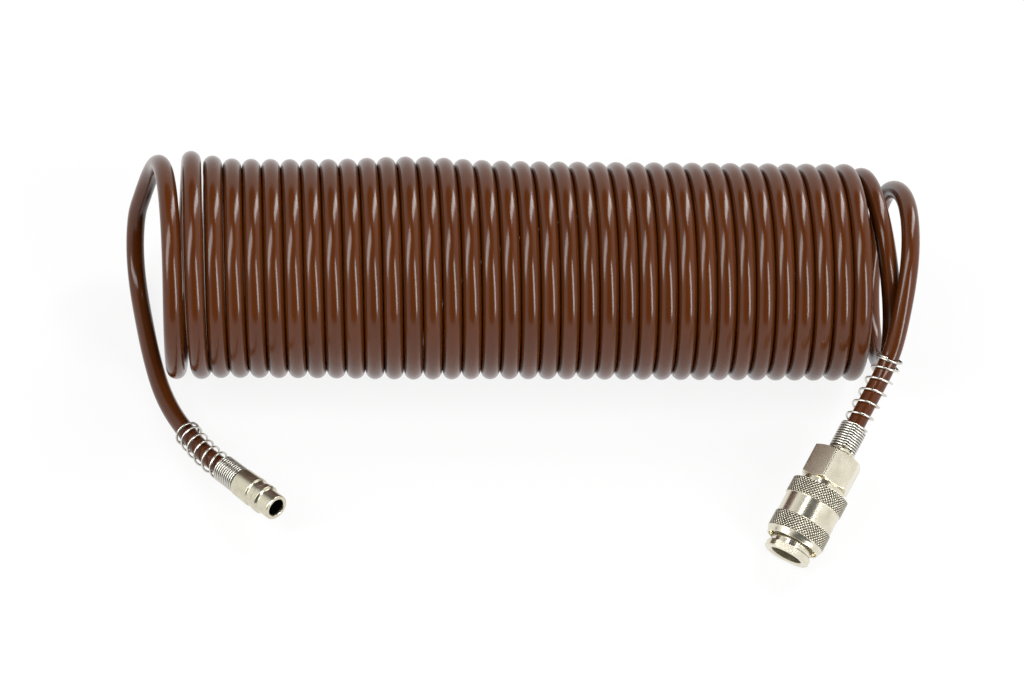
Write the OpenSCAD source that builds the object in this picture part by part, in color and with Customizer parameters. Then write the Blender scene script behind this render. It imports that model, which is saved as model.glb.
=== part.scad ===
// Coiled air hose: a recoil hose with a plug fitting on one end and a ball-lock coupler on the other.
// Millimetres. The origin lies on the floor under the coil's middle turn, X runs along the coil,
// and Z points up. Each fitting is drawn along its own axis: z = 0 is where the hose enters it.

/* [Hose] */
// Outer diameter of the hose
hose_od = 8.2; // [7:0.1:10]
// Bore of the hose
hose_id = 6; // [4.6:0.1:7]
// Crests of the coil
coil_turns = 37; // [12:1:48]
// Mean radius of a turn
coil_r = 45; // [40:0.5:50]
// Free space between neighbouring turns
turn_gap = 0.45; // [0.42:0.01:1.2]

/* [Guard springs] */
// Wire diameter of the guard springs
guard_wire_d = 1; // [0.8:0.05:1.2]
// Turns of the close-wound grip of a guard
grip_turns = 8; // [4:1:9]
// Turns of the open part of a guard
open_turns = 6; // [4:1:8]
// Length of the open part along the hose
open_length = 33; // [24:1:36]

/* [Hose stems] */
// Depth of the hose on its stem
stem_depth = 12.6; // [10:0.2:14]
// Bore through a stem
stem_bore_d = 4.2; // [3:0.1:4.4]
// How far the barbs stand proud of the hose bore
barb_height = 0.2; // [0.1:0.05:0.3]
// Wall of the ferrule round the hose end
ferrule_wall = 0.6; // [0.4:0.1:1]

/* [Plug] */
// Diameter of the plug's nose
nose_d = 11.7; // [11:0.1:12.2]
// Length of the nose
nose_length = 6.6; // [5:0.1:8]
// Diameter of the waist that the coupler's balls grip
waist_d = 12.2; // [12:0.1:12.6]
// Length of the waist
waist_length = 3.8; // [3.4:0.1:4.2]
// Diameter of the rib in front of the waist
rib_d = 13.6; // [13.2:0.1:13.8]
// Length of the rib, with its slopes
rib_length = 3.6; // [3.2:0.1:4.2]
// Diameter of the collar
collar_d = 13.6; // [13:0.1:14.4]
// How much thinner the collar is at its rear end
collar_taper = 0.6; // [0:0.1:0.8]
// Length of the collar
collar_length = 9.9; // [8:0.1:14]
// Bore at the plug's tip
plug_bore_d = 8; // [7:0.1:8.6]

/* [Coupler body] */
// Width of the hexagon across its flats
hex_af = 21; // [21:0.5:24]
// Length of the hexagon, with its chamfers
hex_length = 17; // [14:0.5:20]
// Radial clearance of a plug's nose in the bore behind the balls
nose_gap = 0.2; // [0.05:0.05:0.3]
// Radial clearance of a plug's rib in the mouth bore
mouth_gap = 0.35; // [0.2:0.05:0.4]
// Wall between the mouth bore and the barrel that the sleeve slides on
barrel_wall = 2.05; // [1.9:0.05:2.1]
// How far the flange stands out from the mouth bore
flange_width = 3.35; // [2.9:0.05:3.8]
// Length of the flange
flange_length = 3.4; // [2.8:0.1:4]
// Width of the valve seat, measured from the nose's bore
seat_width = 1.35; // [1.3:0.05:1.4]
// Wall of the front body's tail in the rear body
tail_wall = 1.2; // [1:0.05:1.25]
// Wall of the boss behind the sleeve
boss_wall = 1.75; // [1.7:0.05:1.8]

/* [Ball lock] */
// Number of locking balls, one node each
ball_count = 6; // [6]
// Radius of a ball
ball_r = 2; // [1.8:0.05:2.1]
// Clearance of a ball in its hole
ball_gap = 0.05; // [0.02:0.01:0.08]
// Travel of the sleeve
sleeve_travel = 2.4; // [2.2:0.1:2.5]
// Clearance of the sleeve on the boss and on the barrel
slide_gap = 0.1; // [0.05:0.01:0.15]
// Wall of the sleeve over the recess for the balls
sleeve_wall = 1.8; // [1.5:0.05:2.4]
// Depth of the smooth band between the knurled ones
band_depth = 0.5; // [0.1:0.05:0.6]
// Wire diameter of the sleeve's return spring
sleeve_wire_d = 0.8; // [0.6:0.05:0.8]

/* [Valve] */
// Travel of the valve
valve_travel = 4; // [3:0.1:4.2]
// Clearance of the valve in its chamber
valve_gap = 0.1; // [0.05:0.01:0.15]
// Wire diameter of the valve spring
valve_wire_d = 0.7; // [0.5:0.05:0.8]
// Section diameter of the valve's ring
valve_ring_d = 1.5; // [1.2:0.05:1.6]

/* [Hidden] */
$fn = 96;

brown = [0.36, 0.17, 0.09];
nickel = [0.78, 0.77, 0.73];
steel = [0.66, 0.66, 0.67];
black = [0.10, 0.10, 0.11];

touch = 0.02;     // space between a ring and the wall that it lies on
eps = 0.01;       // how far a cut runs past its face

// ---- The coil's law. t counts turns, and is a whole number on a crest. ----
coil_start = -0.25;
coil_end = coil_turns - 1 / 3;
middle_turn = floor(coil_turns / 2) + 0.5;
turn_pitch = hose_od + turn_gap;
rings_per_turn = 12;
hose_sides = 6;
floor_flat = hose_od / 10;                  // depth of the flat that the coil stands on
first_turn_lean = 3;                        // the first front limb leans towards the plug end
last_turn_step = 5;                         // the last turn stands off its neighbour
last_limb_bow = 2.5;                        // and its front limb bows out further
last_turn_tuck = 8.5;                       // and is drawn in by this much
lead_out = 84;                              // sideways run-out of the hose behind the first crest

function bell(u) = exp(-u * u);
function ease(u) = let (c = min(max(u, 0), 1)) c * c * (3 - 2 * c);
function unit(v) = v / norm(v);

function turn_x(t) = turn_pitch * (t - middle_turn)
    - first_turn_lean * bell((t - 0.5) / 0.33)
    + last_turn_step * ease((t - coil_turns + 1.2) / 0.4)
    + last_limb_bow * bell((t - coil_turns + 0.72) / 0.2)
    - lead_out * pow(max(0.15 - t, 0), 2);
function turn_r(t) = coil_r + 2 * bell((t - 0.8) / 1.1) + bell((t - 12.2) / 3)
    - last_turn_tuck * ease((t - coil_turns + 1.25) / 0.5);
function coil_at(t) = let (r = turn_r(t))
    [turn_x(t), -r * sin(360 * t), r + hose_od / 2 - floor_flat + r * cos(360 * t)];
function coil_way(t) = unit(coil_at(t + 0.001) - coil_at(t - 0.001));

first_crest = [turn_pitch * -middle_turn, 0, 0];
last_crest = [turn_pitch * (coil_turns - 1 - middle_turn), 0, 0];
plug_tail_start = coil_at(coil_start) - hose_od * coil_way(coil_start);
coupler_tail_start = coil_at(coil_end) + hose_od * coil_way(coil_end);

// ---- The two free tails, chosen by hand from the nearest crest of the coil. ----
plug_heading = -48.5;
plug_pitch = 11.5;
plug_entry = first_crest + [22.4, -85.6, 12.9];
plug_tail_points = [[-21, 40.5, 20.5], [-20.5, 31, 10.5], [-18.5, 18.5, 5], [-16, 5, 4.2],
                    [-13.5, -8.5, 4.2], [-10.5, -22, 4.2], [-7, -35, 4.2], [-2, -47.5, 4.5],
                    [4, -59, 6.5], [10.5, -70, 9]];
coupler_heading = -121.5;
coupler_pitch = -21.3;
coupler_entry = last_crest + [-10, -77.5, 34];
coupler_tail_points = [[11.5, 41.5, 45.5], [13, 39.5, 59.5], [14.5, 31.5, 70.5], [15.5, 21, 79.5],
                       [16, 8.5, 85], [15.5, -5.5, 86.5], [14.5, -18.5, 83.5], [13, -29, 76.5],
                       [11, -38, 67.5], [9, -45.5, 57.5], [6.5, -51, 46.5]];
straight_in = 12;                           // straight run before a fitting

function heading_way(heading, pitch) =
    [cos(pitch) * cos(heading), cos(pitch) * sin(heading), sin(pitch)];
plug_way = heading_way(plug_heading, plug_pitch);
coupler_way = heading_way(coupler_heading, coupler_pitch);

// Uniform cubic B-spline over a list of control points.
function spline_point(p, i, u) = (pow(1 - u, 3) * p[i]
    + (3 * pow(u, 3) - 6 * u * u + 4) * p[i + 1]
    + (3 * u + 3 * u * u - 3 * pow(u, 3) + 1) * p[i + 2]
    + pow(u, 3) * p[i + 3]) / 6;
spline_steps = 12;
function spline(p) = [for (i = [0 : len(p) - 4], k = [0 : spline_steps - 1])
    spline_point(p, i, k / spline_steps)];
function route_control(start, start_way, crest, points, entry, way) = concat(
    [start - hose_od * start_way, start, start + hose_od * start_way],
    [for (p = points) crest + p],
    [entry - straight_in * way, entry, entry + straight_in * way]);
function running_length(p) =
    [for (i = 0, s = 0; i < len(p); i = i + 1, s = i < len(p) ? s + norm(p[i] - p[i - 1]) : s) s];
// A route is three tables, of x, y and z over the length run; it goes on straight into the fitting.
function route(control, entry, way) =
    let (p = concat(spline(control), [entry, entry + stem_depth * way]), s = running_length(p))
    [for (k = [0 : 2]) [for (i = [0 : len(p) - 1]) [s[i], p[i][k]]]];
function route_length(table) = table[0][len(table[0]) - 1][0] - stem_depth;
function along(table, s) = [for (k = [0 : 2]) lookup(s, table[k])];
function route_way(table, s) = unit(along(table, s + 0.5) - along(table, s - 0.5));

plug_route = route(route_control(plug_tail_start, -coil_way(coil_start), first_crest,
    plug_tail_points, plug_entry, plug_way), plug_entry, plug_way);
coupler_route = route(route_control(coupler_tail_start, coil_way(coil_end), last_crest,
    coupler_tail_points, coupler_entry, coupler_way), coupler_entry, coupler_way);

// ---- Swept tubes: rings of points across a path, each turned to a reference direction. ----
along_x = [1, 0, 0];
function ring(centre, way, reference, r, sides, turn) =
    let (e1 = unit(reference - (reference * way) * way), e2 = cross(way, e1))
    [for (j = [0 : sides - 1])
        let (a = turn + 360 * j / sides) centre + r * cos(a) * e1 + r * sin(a) * e2];

module swept_tube(rings) {
    n = len(rings);
    m = len(rings[0]);
    sides = [for (i = [0 : n - 2], j = [0 : m - 1])
        let (a = i * m + j, b = i * m + (j + 1) % m) each [[a, b + m, b], [a, a + m, b + m]]];
    first_cap = [for (j = [1 : m - 2]) [0, j, j + 1]];
    last_cap = [for (j = [1 : m - 2]) [(n - 1) * m, (n - 1) * m + j + 1, (n - 1) * m + j]];
    polyhedron(points = [for (r = rings) each r], faces = concat(sides, first_cap, last_cap));
}

// The least space between one turn and the next on a wound path, measured between its points.
function self_gap(path, per_turn, d) = min([for (i = [0 : len(path) - 1 - per_turn])
    norm(path[i + per_turn] - path[i])]) - d;

// ---- Hose ----
coil_rings = round((coil_end - coil_start) * rings_per_turn);
coil_times = [for (i = [0 : coil_rings]) coil_start + i / rings_per_turn];
hose_r = hose_od / 2;

module hose_coil() {
    rings = concat(
        [ring(plug_tail_start, coil_way(coil_start), along_x, hose_r, hose_sides, 30)],
        [for (t = coil_times) ring(coil_at(t), coil_way(t), along_x, hose_r, hose_sides, 30)],
        [ring(coupler_tail_start, coil_way(coil_end), along_x, hose_r, hose_sides, 30)]);
    ground = [abs(first_crest.x) * 3, coil_r * 4, hose_od];
    color(brown) difference() {
        swept_tube(rings);
        translate([0, 0, -ground.z / 2]) cube(ground, center = true);
    }
}

tail_sides = 12;
tail_ring_step = 2 * hose_od;
module hose_tail(table, first_way, last_way) {
    length = route_length(table);
    steps = round(length / tail_ring_step);
    color(brown) swept_tube([for (i = [0 : steps]) let (s = length * i / steps)
        ring(along(table, s), i == 0 ? first_way : i == steps ? last_way : route_way(table, s),
             along_x, hose_r, tail_sides, 15)]);
}

stretched_bore_r = hose_id / 2 + barb_height + 0.05;
stretched_r = sqrt(pow(hose_r, 2) - pow(hose_id / 2, 2) + pow(stretched_bore_r, 2));
hose_end_gap = 0.3;                         // from the cut end of the hose to the fitting
bell_length = 1.5;                          // over which the hose widens onto the stem
module hose_end() {
    color(brown) rotate_extrude() polygon([
        [hose_id / 2, 0], [hose_r, 0], [stretched_r, bell_length],
        [stretched_r, stem_depth - hose_end_gap], [stretched_bore_r, stem_depth - hose_end_gap],
        [stretched_bore_r, bell_length]]);
}

// ---- Ferrule: a thin tube that presses the hose end onto its stem ----
ferrule_r = stretched_r + touch + ferrule_wall;
module ferrule() {
    start = bell_length + 0.5;
    stop = stem_depth - hose_end_gap;
    edge = 0.2;
    color(nickel) rotate_extrude() polygon([
        [stretched_r + touch, start], [ferrule_r - edge, start], [ferrule_r, start + edge],
        [ferrule_r, stop], [stretched_r + touch, stop]]);
}

// ---- Guard springs: a close-wound grip on the ferrule, then open turns along the hose, the last
// of them closed against its neighbour. ----
rings_per_curl = 8;
wire_sides = 6;
wire_r = guard_wire_d / 2;
grip_pitch = guard_wire_d + 0.5;
closed_turns = 0.6;
guard_gap = 0.1;                            // from the wire to the ferrule and to the fitting
guard_r = (ferrule_r + guard_gap + wire_r * cos(30)) / cos(180 / rings_per_curl);
open_pitch = open_length / open_turns;
guard_turns = grip_turns + open_turns + closed_turns;

// How far turn k of the spring lies behind the fitting's face.
function guard_run(k) = wire_r + guard_gap + min(k, grip_turns) * grip_pitch
    + min(max(k - grip_turns, 0), open_turns) * open_pitch
    + max(k - grip_turns - open_turns, 0) * grip_pitch;
function guard_station(table, k) = route_length(table) + stem_depth - guard_run(k);
function guard_point(table, k, phase) =
    let (s = guard_station(table, k), axis = -route_way(table, s - 0.5), a = 360 * k + phase,
         e1 = unit(along_x - (along_x * axis) * axis), e2 = cross(axis, e1))
    along(table, s) + guard_r * (cos(a) * e1 + sin(a) * e2);
guard_steps = ceil(guard_turns * rings_per_curl);
function guard_path(table, phase) =
    [for (i = [0 : guard_steps]) guard_point(table, i / rings_per_curl, phase)];

module spring_guard(table, phase) {
    half = 0.5 / rings_per_curl;
    color(steel) swept_tube([for (i = [0 : guard_steps]) let (k = i / rings_per_curl)
        ring(guard_point(table, k, phase),
             unit(guard_point(table, k + half, phase) - guard_point(table, k - half, phase)),
             -route_way(table, guard_station(table, k)), wire_r, wire_sides, 0)]);
}

// ---- Hose stem, shared by both fittings ----
stem_tip = 0.8;
stem_core_r = hose_id / 2 - 0.1;
barb_r = hose_id / 2 + barb_height;
barb_pitch = 3.2;
barbs = 3;
module stem_profile() {
    polygon(concat(
        [[stem_bore_d / 2, stem_tip], [stem_core_r - 0.2, stem_tip]],
        [for (i = [0 : barbs - 1]) let (z = stem_tip + 0.6 + i * barb_pitch)
            each [[stem_core_r, z], [barb_r, z + barb_pitch * 0.8], [stem_core_r, z + barb_pitch * 0.9]]],
        [[stem_core_r, stem_depth + eps], [stem_bore_d / 2, stem_depth + eps]]));
}

// ---- Plug ----
collar_end = stem_depth + collar_length;
waist_end = collar_end + waist_length;
rib_end = waist_end + rib_length;
plug_tip = rib_end + nose_length;
nose_r = nose_d / 2;
waist_r = waist_d / 2;
rib_r = rib_d / 2;
module plug_body() {
    edge = 0.5;
    waist_slope = 0.5;
    rib_round = 0.8;
    rib_slope = 0.9;
    collar_r = collar_d / 2;
    collar_rear_r = collar_r - collar_taper / 2;
    neck = stem_bore_d / 2 + 0.6;
    color(nickel) rotate_extrude() {
        stem_profile();
        polygon([
            [stem_bore_d / 2, stem_depth], [collar_rear_r - edge, stem_depth],
            [collar_rear_r, stem_depth + edge], [collar_r, collar_end - edge / 2],
            [collar_r - edge / 4, collar_end],
            [waist_r, collar_end + waist_slope], [waist_r, waist_end - waist_slope],
            [(waist_r + 2 * rib_r) / 3, waist_end], [rib_r, waist_end + rib_round],
            [rib_r, rib_end - rib_slope - rib_round], [rib_r - 0.3, rib_end - rib_slope], [nose_r, rib_end],
            [nose_r, plug_tip - edge], [nose_r - edge, plug_tip],
            [plug_bore_d / 2 + 0.3, plug_tip], [plug_bore_d / 2, plug_tip - 0.3],
            [plug_bore_d / 2, rib_end], [neck, waist_end], [stem_bore_d / 2, collar_end - 2]]);
    }
}

// ---- Coupler: places along its axis ----
foot_length = 0.6;                          // round foot ahead of the hexagon
shoulder_to_balls = 20.4;
balls_to_flange = 6.8;
rib_play = 1.6;                             // from the waist's balls to where the plug's rib stops
seal_land = 4.4;                            // narrow bore round the plug's nose and its seal
stem_to_tail = 10.8;
hex_start = stem_depth + foot_length;
hex_end = hex_start + hex_length;
boss_length = 5.6;
boss_end = hex_end + boss_length;           // the front body's shoulder seats here
sleeve_start = hex_end + sleeve_travel + 0.1;
ball_plane = boss_end + shoulder_to_balls;
ball_centre_r = waist_r + ball_r;           // the balls rest on a plug's waist
flange_start = ball_plane + balls_to_flange;
mouth = flange_start + flange_length;
nose_bore_r = nose_r + nose_gap;
mouth_r = rib_r + mouth_gap;
barrel_r = mouth_r + barrel_wall;
flange_r = mouth_r + flange_width;
mouth_bore_end = ball_plane - rib_length - rib_play;    // the plug's rib stops here
seat_end = mouth_bore_end - seal_land;
tail_start = hex_start + stem_to_tail;
spring_bore_r = 3.6;
chamber_r = nose_bore_r + seat_width;
tail_r = chamber_r + tail_wall;
boss_r = tail_r + boss_wall;
sleeve_bore_r = boss_r + slide_gap;
guide_r = barrel_r + slide_gap;
stop_wire_r = 0.5;
balls_to_guide = 6.5;
guide_length = 1.6;
guide_start = ball_plane - balls_to_guide;   // the sleeve's inner rib, which guides it on the barrel
guide_end = guide_start + guide_length;
stop_ring_z = guide_end + 0.1 + stop_wire_r;
ball_travel = mouth_r + 0.05 - waist_r;     // a ball then clears the mouth bore
land_r = ball_centre_r + ball_r + 0.35;
land_end = ball_plane + 0.2;
recess_r = land_r + ball_travel;
sleeve_r = recess_r + sleeve_wall;
sleeve_end = ball_plane + 4;

module coupler_rear_body() {
    rear_angle = 25;
    front_angle = 30;
    boss_edge = 0.4;
    corner_r = hex_af / 2 / cos(30);
    hex_foot_r = ferrule_r + 1.6;
    rear_chamfer = (corner_r - hex_foot_r) * tan(rear_angle);
    front_chamfer = (corner_r - boss_r + boss_edge) * tan(front_angle);
    tail_bore_r = tail_r + 0.05;
    color(nickel) difference() {
        union() {
            rotate_extrude() stem_profile();
            translate([0, 0, stem_depth]) cylinder(r = hex_foot_r, h = hex_start - stem_depth + eps);
            intersection() {
                translate([0, 0, hex_start]) cylinder(r = corner_r, h = hex_length, $fn = 6);
                rotate_extrude() polygon([
                    [0, hex_start], [hex_foot_r, hex_start], [corner_r, hex_start + rear_chamfer],
                    [corner_r, hex_end - front_chamfer], [boss_r - boss_edge, hex_end], [0, hex_end]]);
            }
            translate([0, 0, hex_end - eps]) cylinder(r = boss_r, h = boss_length + eps);
        }
        translate([0, 0, stem_tip - eps]) cylinder(d = stem_bore_d, h = tail_start);
        translate([0, 0, tail_start - 5]) cylinder(d1 = stem_bore_d, r2 = tail_r - 2, h = 5);
        translate([0, 0, tail_start - 0.2]) cylinder(r = tail_bore_r, h = boss_end);
    }
}

seal_wire_r = 0.6;
body_seal_z = tail_start + 6.5;
module body_seal() {
    centre_r = tail_r - seal_wire_r;
    color(black) rotate_extrude() translate([centre_r, body_seal_z]) circle(r = seal_wire_r);
}

// A hole for one ball: straight where the ball runs, and drawn in at the bore so that it stays in.
module ball_hole() {
    lip_r = ball_r - 0.2;
    lip_out = ball_centre_r - 0.25;
    rotate([0, 90, 0]) {
        translate([0, 0, mouth_r - 0.5]) cylinder(r = lip_r, h = 2);
        translate([0, 0, lip_out - 0.75]) cylinder(r1 = lip_r, r2 = ball_r + ball_gap, h = 0.75);
        translate([0, 0, lip_out]) cylinder(r = ball_r + ball_gap, h = barrel_r);
    }
}

module front_body_profile() {
    edge = 0.5;
    groove = 0.2;
    seal_groove_r = tail_r - 2 * seal_wire_r - touch;
    stop_groove_r = barrel_r - stop_wire_r - touch;
    plug_groove_r = plug_seal_r + plug_ring_r + touch;
    mouth_chamfer = 0.6;
    relief = 0.25;
    relief_run = 0.8;                       // of the relief past the balls, towards the mouth
    polygon([
        [spring_bore_r, tail_start], [tail_r - edge, tail_start], [tail_r, tail_start + edge],
        [tail_r, body_seal_z - seal_wire_r - groove],
        [seal_groove_r, body_seal_z - seal_wire_r - groove],
        [seal_groove_r, body_seal_z + seal_wire_r + groove],
        [tail_r, body_seal_z + seal_wire_r + groove],
        [tail_r, boss_end], [barrel_r, boss_end],
        [barrel_r, stop_ring_z - stop_wire_r - touch],
        [stop_groove_r, stop_ring_z - stop_wire_r - touch],
        [stop_groove_r, stop_ring_z + stop_wire_r + touch],
        [barrel_r, stop_ring_z + stop_wire_r + touch],
        [barrel_r, flange_start], [flange_r - edge, flange_start], [flange_r, flange_start + edge],
        [flange_r, mouth - edge], [flange_r - edge, mouth],
        [mouth_r + mouth_chamfer, mouth], [mouth_r, mouth - mouth_chamfer],
        [mouth_r, ball_plane + ball_r + relief_run],
        [mouth_r + relief, ball_plane + ball_r + relief_run - relief],
        [mouth_r + relief, ball_plane - ball_r - groove],
        [mouth_r, ball_plane - ball_r - groove - relief],
        [mouth_r, mouth_bore_end], [nose_bore_r, mouth_bore_end - 0.6],
        [nose_bore_r, plug_seal_z + plug_ring_r + groove],
        [plug_groove_r, plug_seal_z + plug_ring_r + groove],
        [plug_groove_r, plug_seal_z - plug_ring_r - groove],
        [nose_bore_r, plug_seal_z - plug_ring_r - groove],
        [nose_bore_r, seat_end], [chamber_r, seat_end - chamber_r + nose_bore_r],
        [chamber_r, chamber_start], [spring_bore_r, chamber_start]]);
}

wrench_flat = flange_r - 1.3;               // from the axis to each of the flange's two flats
module coupler_front_body() {
    color(nickel) difference() {
        rotate_extrude() front_body_profile();
        for (i = [0 : ball_count - 1])
            translate([0, 0, ball_plane]) rotate([0, 0, 360 * i / ball_count]) ball_hole();
        for (side = [-1, 1])
            translate([side * (wrench_flat + flange_r / 2), 0, flange_start + flange_length / 2])
                cube([flange_r, 3 * flange_r, flange_length + 2 * eps], center = true);
    }
}

module locking_ball(i) {
    color(steel) rotate([0, 0, 360 / ball_count * (i - 1)]) translate([ball_centre_r, 0, ball_plane])
        sphere(r = ball_r);
}

module lock_sleeve() {
    edge = 0.5;
    rear_band_end = sleeve_start + 7.5;
    front_band_start = rear_band_end + 9.8;
    front_band_end = front_band_start + 7.5;
    nose_bevel_r = recess_r + 0.65;
    color(nickel) rotate_extrude() polygon([
        [sleeve_bore_r, sleeve_start], [sleeve_r - edge, sleeve_start],
        [sleeve_r, sleeve_start + edge], [sleeve_r, rear_band_end],
        [sleeve_r - band_depth, rear_band_end], [sleeve_r - band_depth, front_band_start],
        [sleeve_r, front_band_start], [sleeve_r, front_band_end],
        [sleeve_r - 0.6, front_band_end + 1.1], [nose_bevel_r, sleeve_end],
        [recess_r, sleeve_end], [recess_r, land_end + recess_r - land_r], [land_r, land_end],
        [land_r, guide_end], [guide_r, guide_end], [guide_r, guide_start],
        [sleeve_bore_r, guide_start]]);
}

// ---- Inner springs: flat half turns at both ends, steady pitch between them. ----
inner_rings = 16;
module compression_spring(r, wire, turns, z0, z1) {
    wr = wire / 2;
    dead = 0.5;
    function spring_at(k) = [r * cos(360 * k), r * sin(360 * k),
        z0 + wr + (z1 - z0 - wire) * min(max((k - dead) / (turns - 2 * dead), 0), 1)];
    path = [for (i = [0 : turns * inner_rings]) spring_at(i / inner_rings)];
    echo(spring_gap = self_gap(path, inner_rings, wire));
    color(steel) swept_tube([for (i = [0 : turns * inner_rings]) let (k = i / inner_rings)
        ring(spring_at(k), unit(spring_at(k + 0.01) - spring_at(k - 0.01)),
             [0, 0, 1], wr, wire_sides, 0)]);
}

sleeve_spring_r = (barrel_r + sleeve_bore_r) / 2 + 0.05;
module sleeve_spring() {
    compression_spring(sleeve_spring_r, sleeve_wire_d, 5.5, boss_end + touch, guide_start - touch);
}

module sleeve_stop_ring() {
    gap_angle = 24;
    color(steel) rotate([0, 0, gap_angle / 2]) rotate_extrude(angle = 360 - gap_angle)
        translate([barrel_r, stop_ring_z]) circle(r = stop_wire_r);
}

// ---- Valve ----
valve_ring_r = valve_ring_d / 2;
valve_neck_r = nose_bore_r - 0.65;
valve_seal_r = valve_neck_r + 0.05 + valve_ring_r;
// The ring lies on the 45 degree seat, so its centre is one section radius off that cone.
valve_seal_z = seat_end + nose_bore_r - valve_seal_r - (valve_ring_r + touch) * sqrt(2);
valve_head_z = valve_seal_z - valve_ring_r - touch;
valve_skirt = 6.6;
valve_spare = 1.2;                          // room behind the open valve
valve_skirt_start = valve_head_z - valve_skirt;
chamber_start = valve_skirt_start - valve_travel - valve_spare;
valve_cup_r = chamber_r - 1.3;
module valve_poppet() {
    skirt_r = chamber_r - valve_gap;
    lip_z = valve_seal_z + valve_ring_r + touch;
    lip_r = valve_neck_r + 0.3;
    nose_z = lip_z + 2;
    nose_r = valve_neck_r - 0.2;
    window_r = 1.4;
    window_rise = 2.4;
    slot = 2;
    color(nickel) difference() {
        rotate_extrude() polygon([
            [0, valve_head_z - 1.6], [valve_cup_r, valve_head_z - 1.6],
            [valve_cup_r, valve_skirt_start], [skirt_r, valve_skirt_start],
            [skirt_r, valve_head_z - 0.4], [skirt_r - 0.4, valve_head_z],
            [valve_neck_r, valve_head_z], [valve_neck_r, lip_z], [lip_r, lip_z],
            [nose_r, lip_z + 0.4], [nose_r, nose_z], [nose_r - 1.3, nose_z],
            [nose_r - 1.3, lip_z], [0, lip_z]]);
        for (a = [45, 135])
            rotate([0, 0, a]) translate([-chamber_r, -slot / 2, lip_z + 0.5])
                cube([2 * chamber_r, slot, 3]);
        for (a = [0, 90])
            rotate([0, 0, a]) translate([-chamber_r, 0, valve_skirt_start + window_rise])
                rotate([0, 90, 0]) cylinder(r = window_r, h = 2 * chamber_r);
    }
}

module valve_seal() {
    color(black) rotate_extrude() translate([valve_seal_r, valve_seal_z]) circle(r = valve_ring_r);
}

module valve_spring() {
    compression_spring(valve_cup_r - valve_wire_d / 2 - 0.3, valve_wire_d, 4.5,
                       chamber_start + touch, valve_head_z - 1.6 - touch);
}

plug_ring_r = 0.95;
plug_seal_r = nose_r - 0.25 + plug_ring_r;
plug_seal_z = mouth_bore_end - 2.3;
module plug_seal() {
    color(black) rotate_extrude() translate([plug_seal_r, plug_seal_z]) circle(r = plug_ring_r);
}

// ---- Places of the two fittings ----
module at_plug() translate(plug_entry) rotate([0, 90 - plug_pitch, plug_heading]) children();
module at_coupler()
    translate(coupler_entry) rotate([0, 90 - coupler_pitch, coupler_heading]) children();

plug_guard_phase = 293;
coupler_guard_phase = 30;
echo(coil_gap = self_gap([for (t = coil_times) coil_at(t)], rings_per_turn, hose_od));
echo(plug_guard_gap = self_gap(guard_path(plug_route, plug_guard_phase), rings_per_curl, guard_wire_d));
echo(coupler_guard_gap =
    self_gap(guard_path(coupler_route, coupler_guard_phase), rings_per_curl, guard_wire_d));
echo(plug_tail_length = route_length(plug_route), coupler_tail_length = route_length(coupler_route));
echo(mouth = coupler_entry + mouth * coupler_way, coupler_way = coupler_way, mouth_z = mouth);
echo(plug_tip = plug_entry + plug_tip * plug_way, plug_way = plug_way, plug_tip_z = plug_tip);

hose_coil();
hose_tail(plug_route, -coil_way(coil_start), plug_way);  // hose_tail_plug
hose_tail(coupler_route, coil_way(coil_end), coupler_way);  // hose_tail_coupler
at_plug() hose_end();  // hose_end_plug
at_coupler() hose_end();  // hose_end_coupler
at_plug() ferrule();  // plug_ferrule
at_coupler() ferrule();  // coupler_ferrule
at_plug() plug_body();
spring_guard(plug_route, plug_guard_phase);  // plug_spring_guard
spring_guard(coupler_route, coupler_guard_phase);  // coupler_spring_guard
at_coupler() coupler_rear_body();
at_coupler() body_seal();
at_coupler() coupler_front_body();
at_coupler() locking_ball(1);  // locking_ball_1
at_coupler() locking_ball(2);  // locking_ball_2
at_coupler() locking_ball(3);  // locking_ball_3
at_coupler() locking_ball(4);  // locking_ball_4
at_coupler() locking_ball(5);  // locking_ball_5
at_coupler() locking_ball(6);  // locking_ball_6
at_coupler() lock_sleeve();
at_coupler() sleeve_spring();
at_coupler() sleeve_stop_ring();
at_coupler() valve_poppet();
at_coupler() valve_seal();
at_coupler() valve_spring();
at_coupler() plug_seal();
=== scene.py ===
"""Looks of a coiled air hose with a plug fitting on one tail and a ball-lock coupler on the other.

The frame holds the solids, in metres: the origin is on the floor under the middle turn of the coil, X runs
along the coil towards the coupler end and Z points up. Each fitting has an axis of its own, with z = 0 where
the hose enters it. This script adds the wound hose, the springs and the knurled sleeve as fine surfaces,
and gives every piece its finish.
"""

import logging
import math
from collections.abc import Callable
from dataclasses import dataclass
from enum import Enum

import bpy
import numpy as np
from mathutils import Matrix, Vector


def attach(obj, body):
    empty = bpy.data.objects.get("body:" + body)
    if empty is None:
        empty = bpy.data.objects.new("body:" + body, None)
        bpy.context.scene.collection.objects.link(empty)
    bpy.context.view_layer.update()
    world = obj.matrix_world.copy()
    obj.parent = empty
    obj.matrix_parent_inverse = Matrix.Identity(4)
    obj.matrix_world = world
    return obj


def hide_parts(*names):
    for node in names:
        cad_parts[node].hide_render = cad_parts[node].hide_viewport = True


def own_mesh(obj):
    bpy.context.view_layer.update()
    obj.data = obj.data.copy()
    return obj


log = logging.getLogger("air_hose")
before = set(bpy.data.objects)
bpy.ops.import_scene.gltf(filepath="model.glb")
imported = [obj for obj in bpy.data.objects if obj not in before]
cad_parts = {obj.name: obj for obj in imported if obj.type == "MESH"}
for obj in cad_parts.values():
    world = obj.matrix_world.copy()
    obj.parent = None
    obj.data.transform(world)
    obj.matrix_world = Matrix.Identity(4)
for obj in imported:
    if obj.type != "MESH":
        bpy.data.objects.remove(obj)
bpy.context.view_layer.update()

MM = 0.001


# ---------------------------------------------------------------- Geometry helpers


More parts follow.
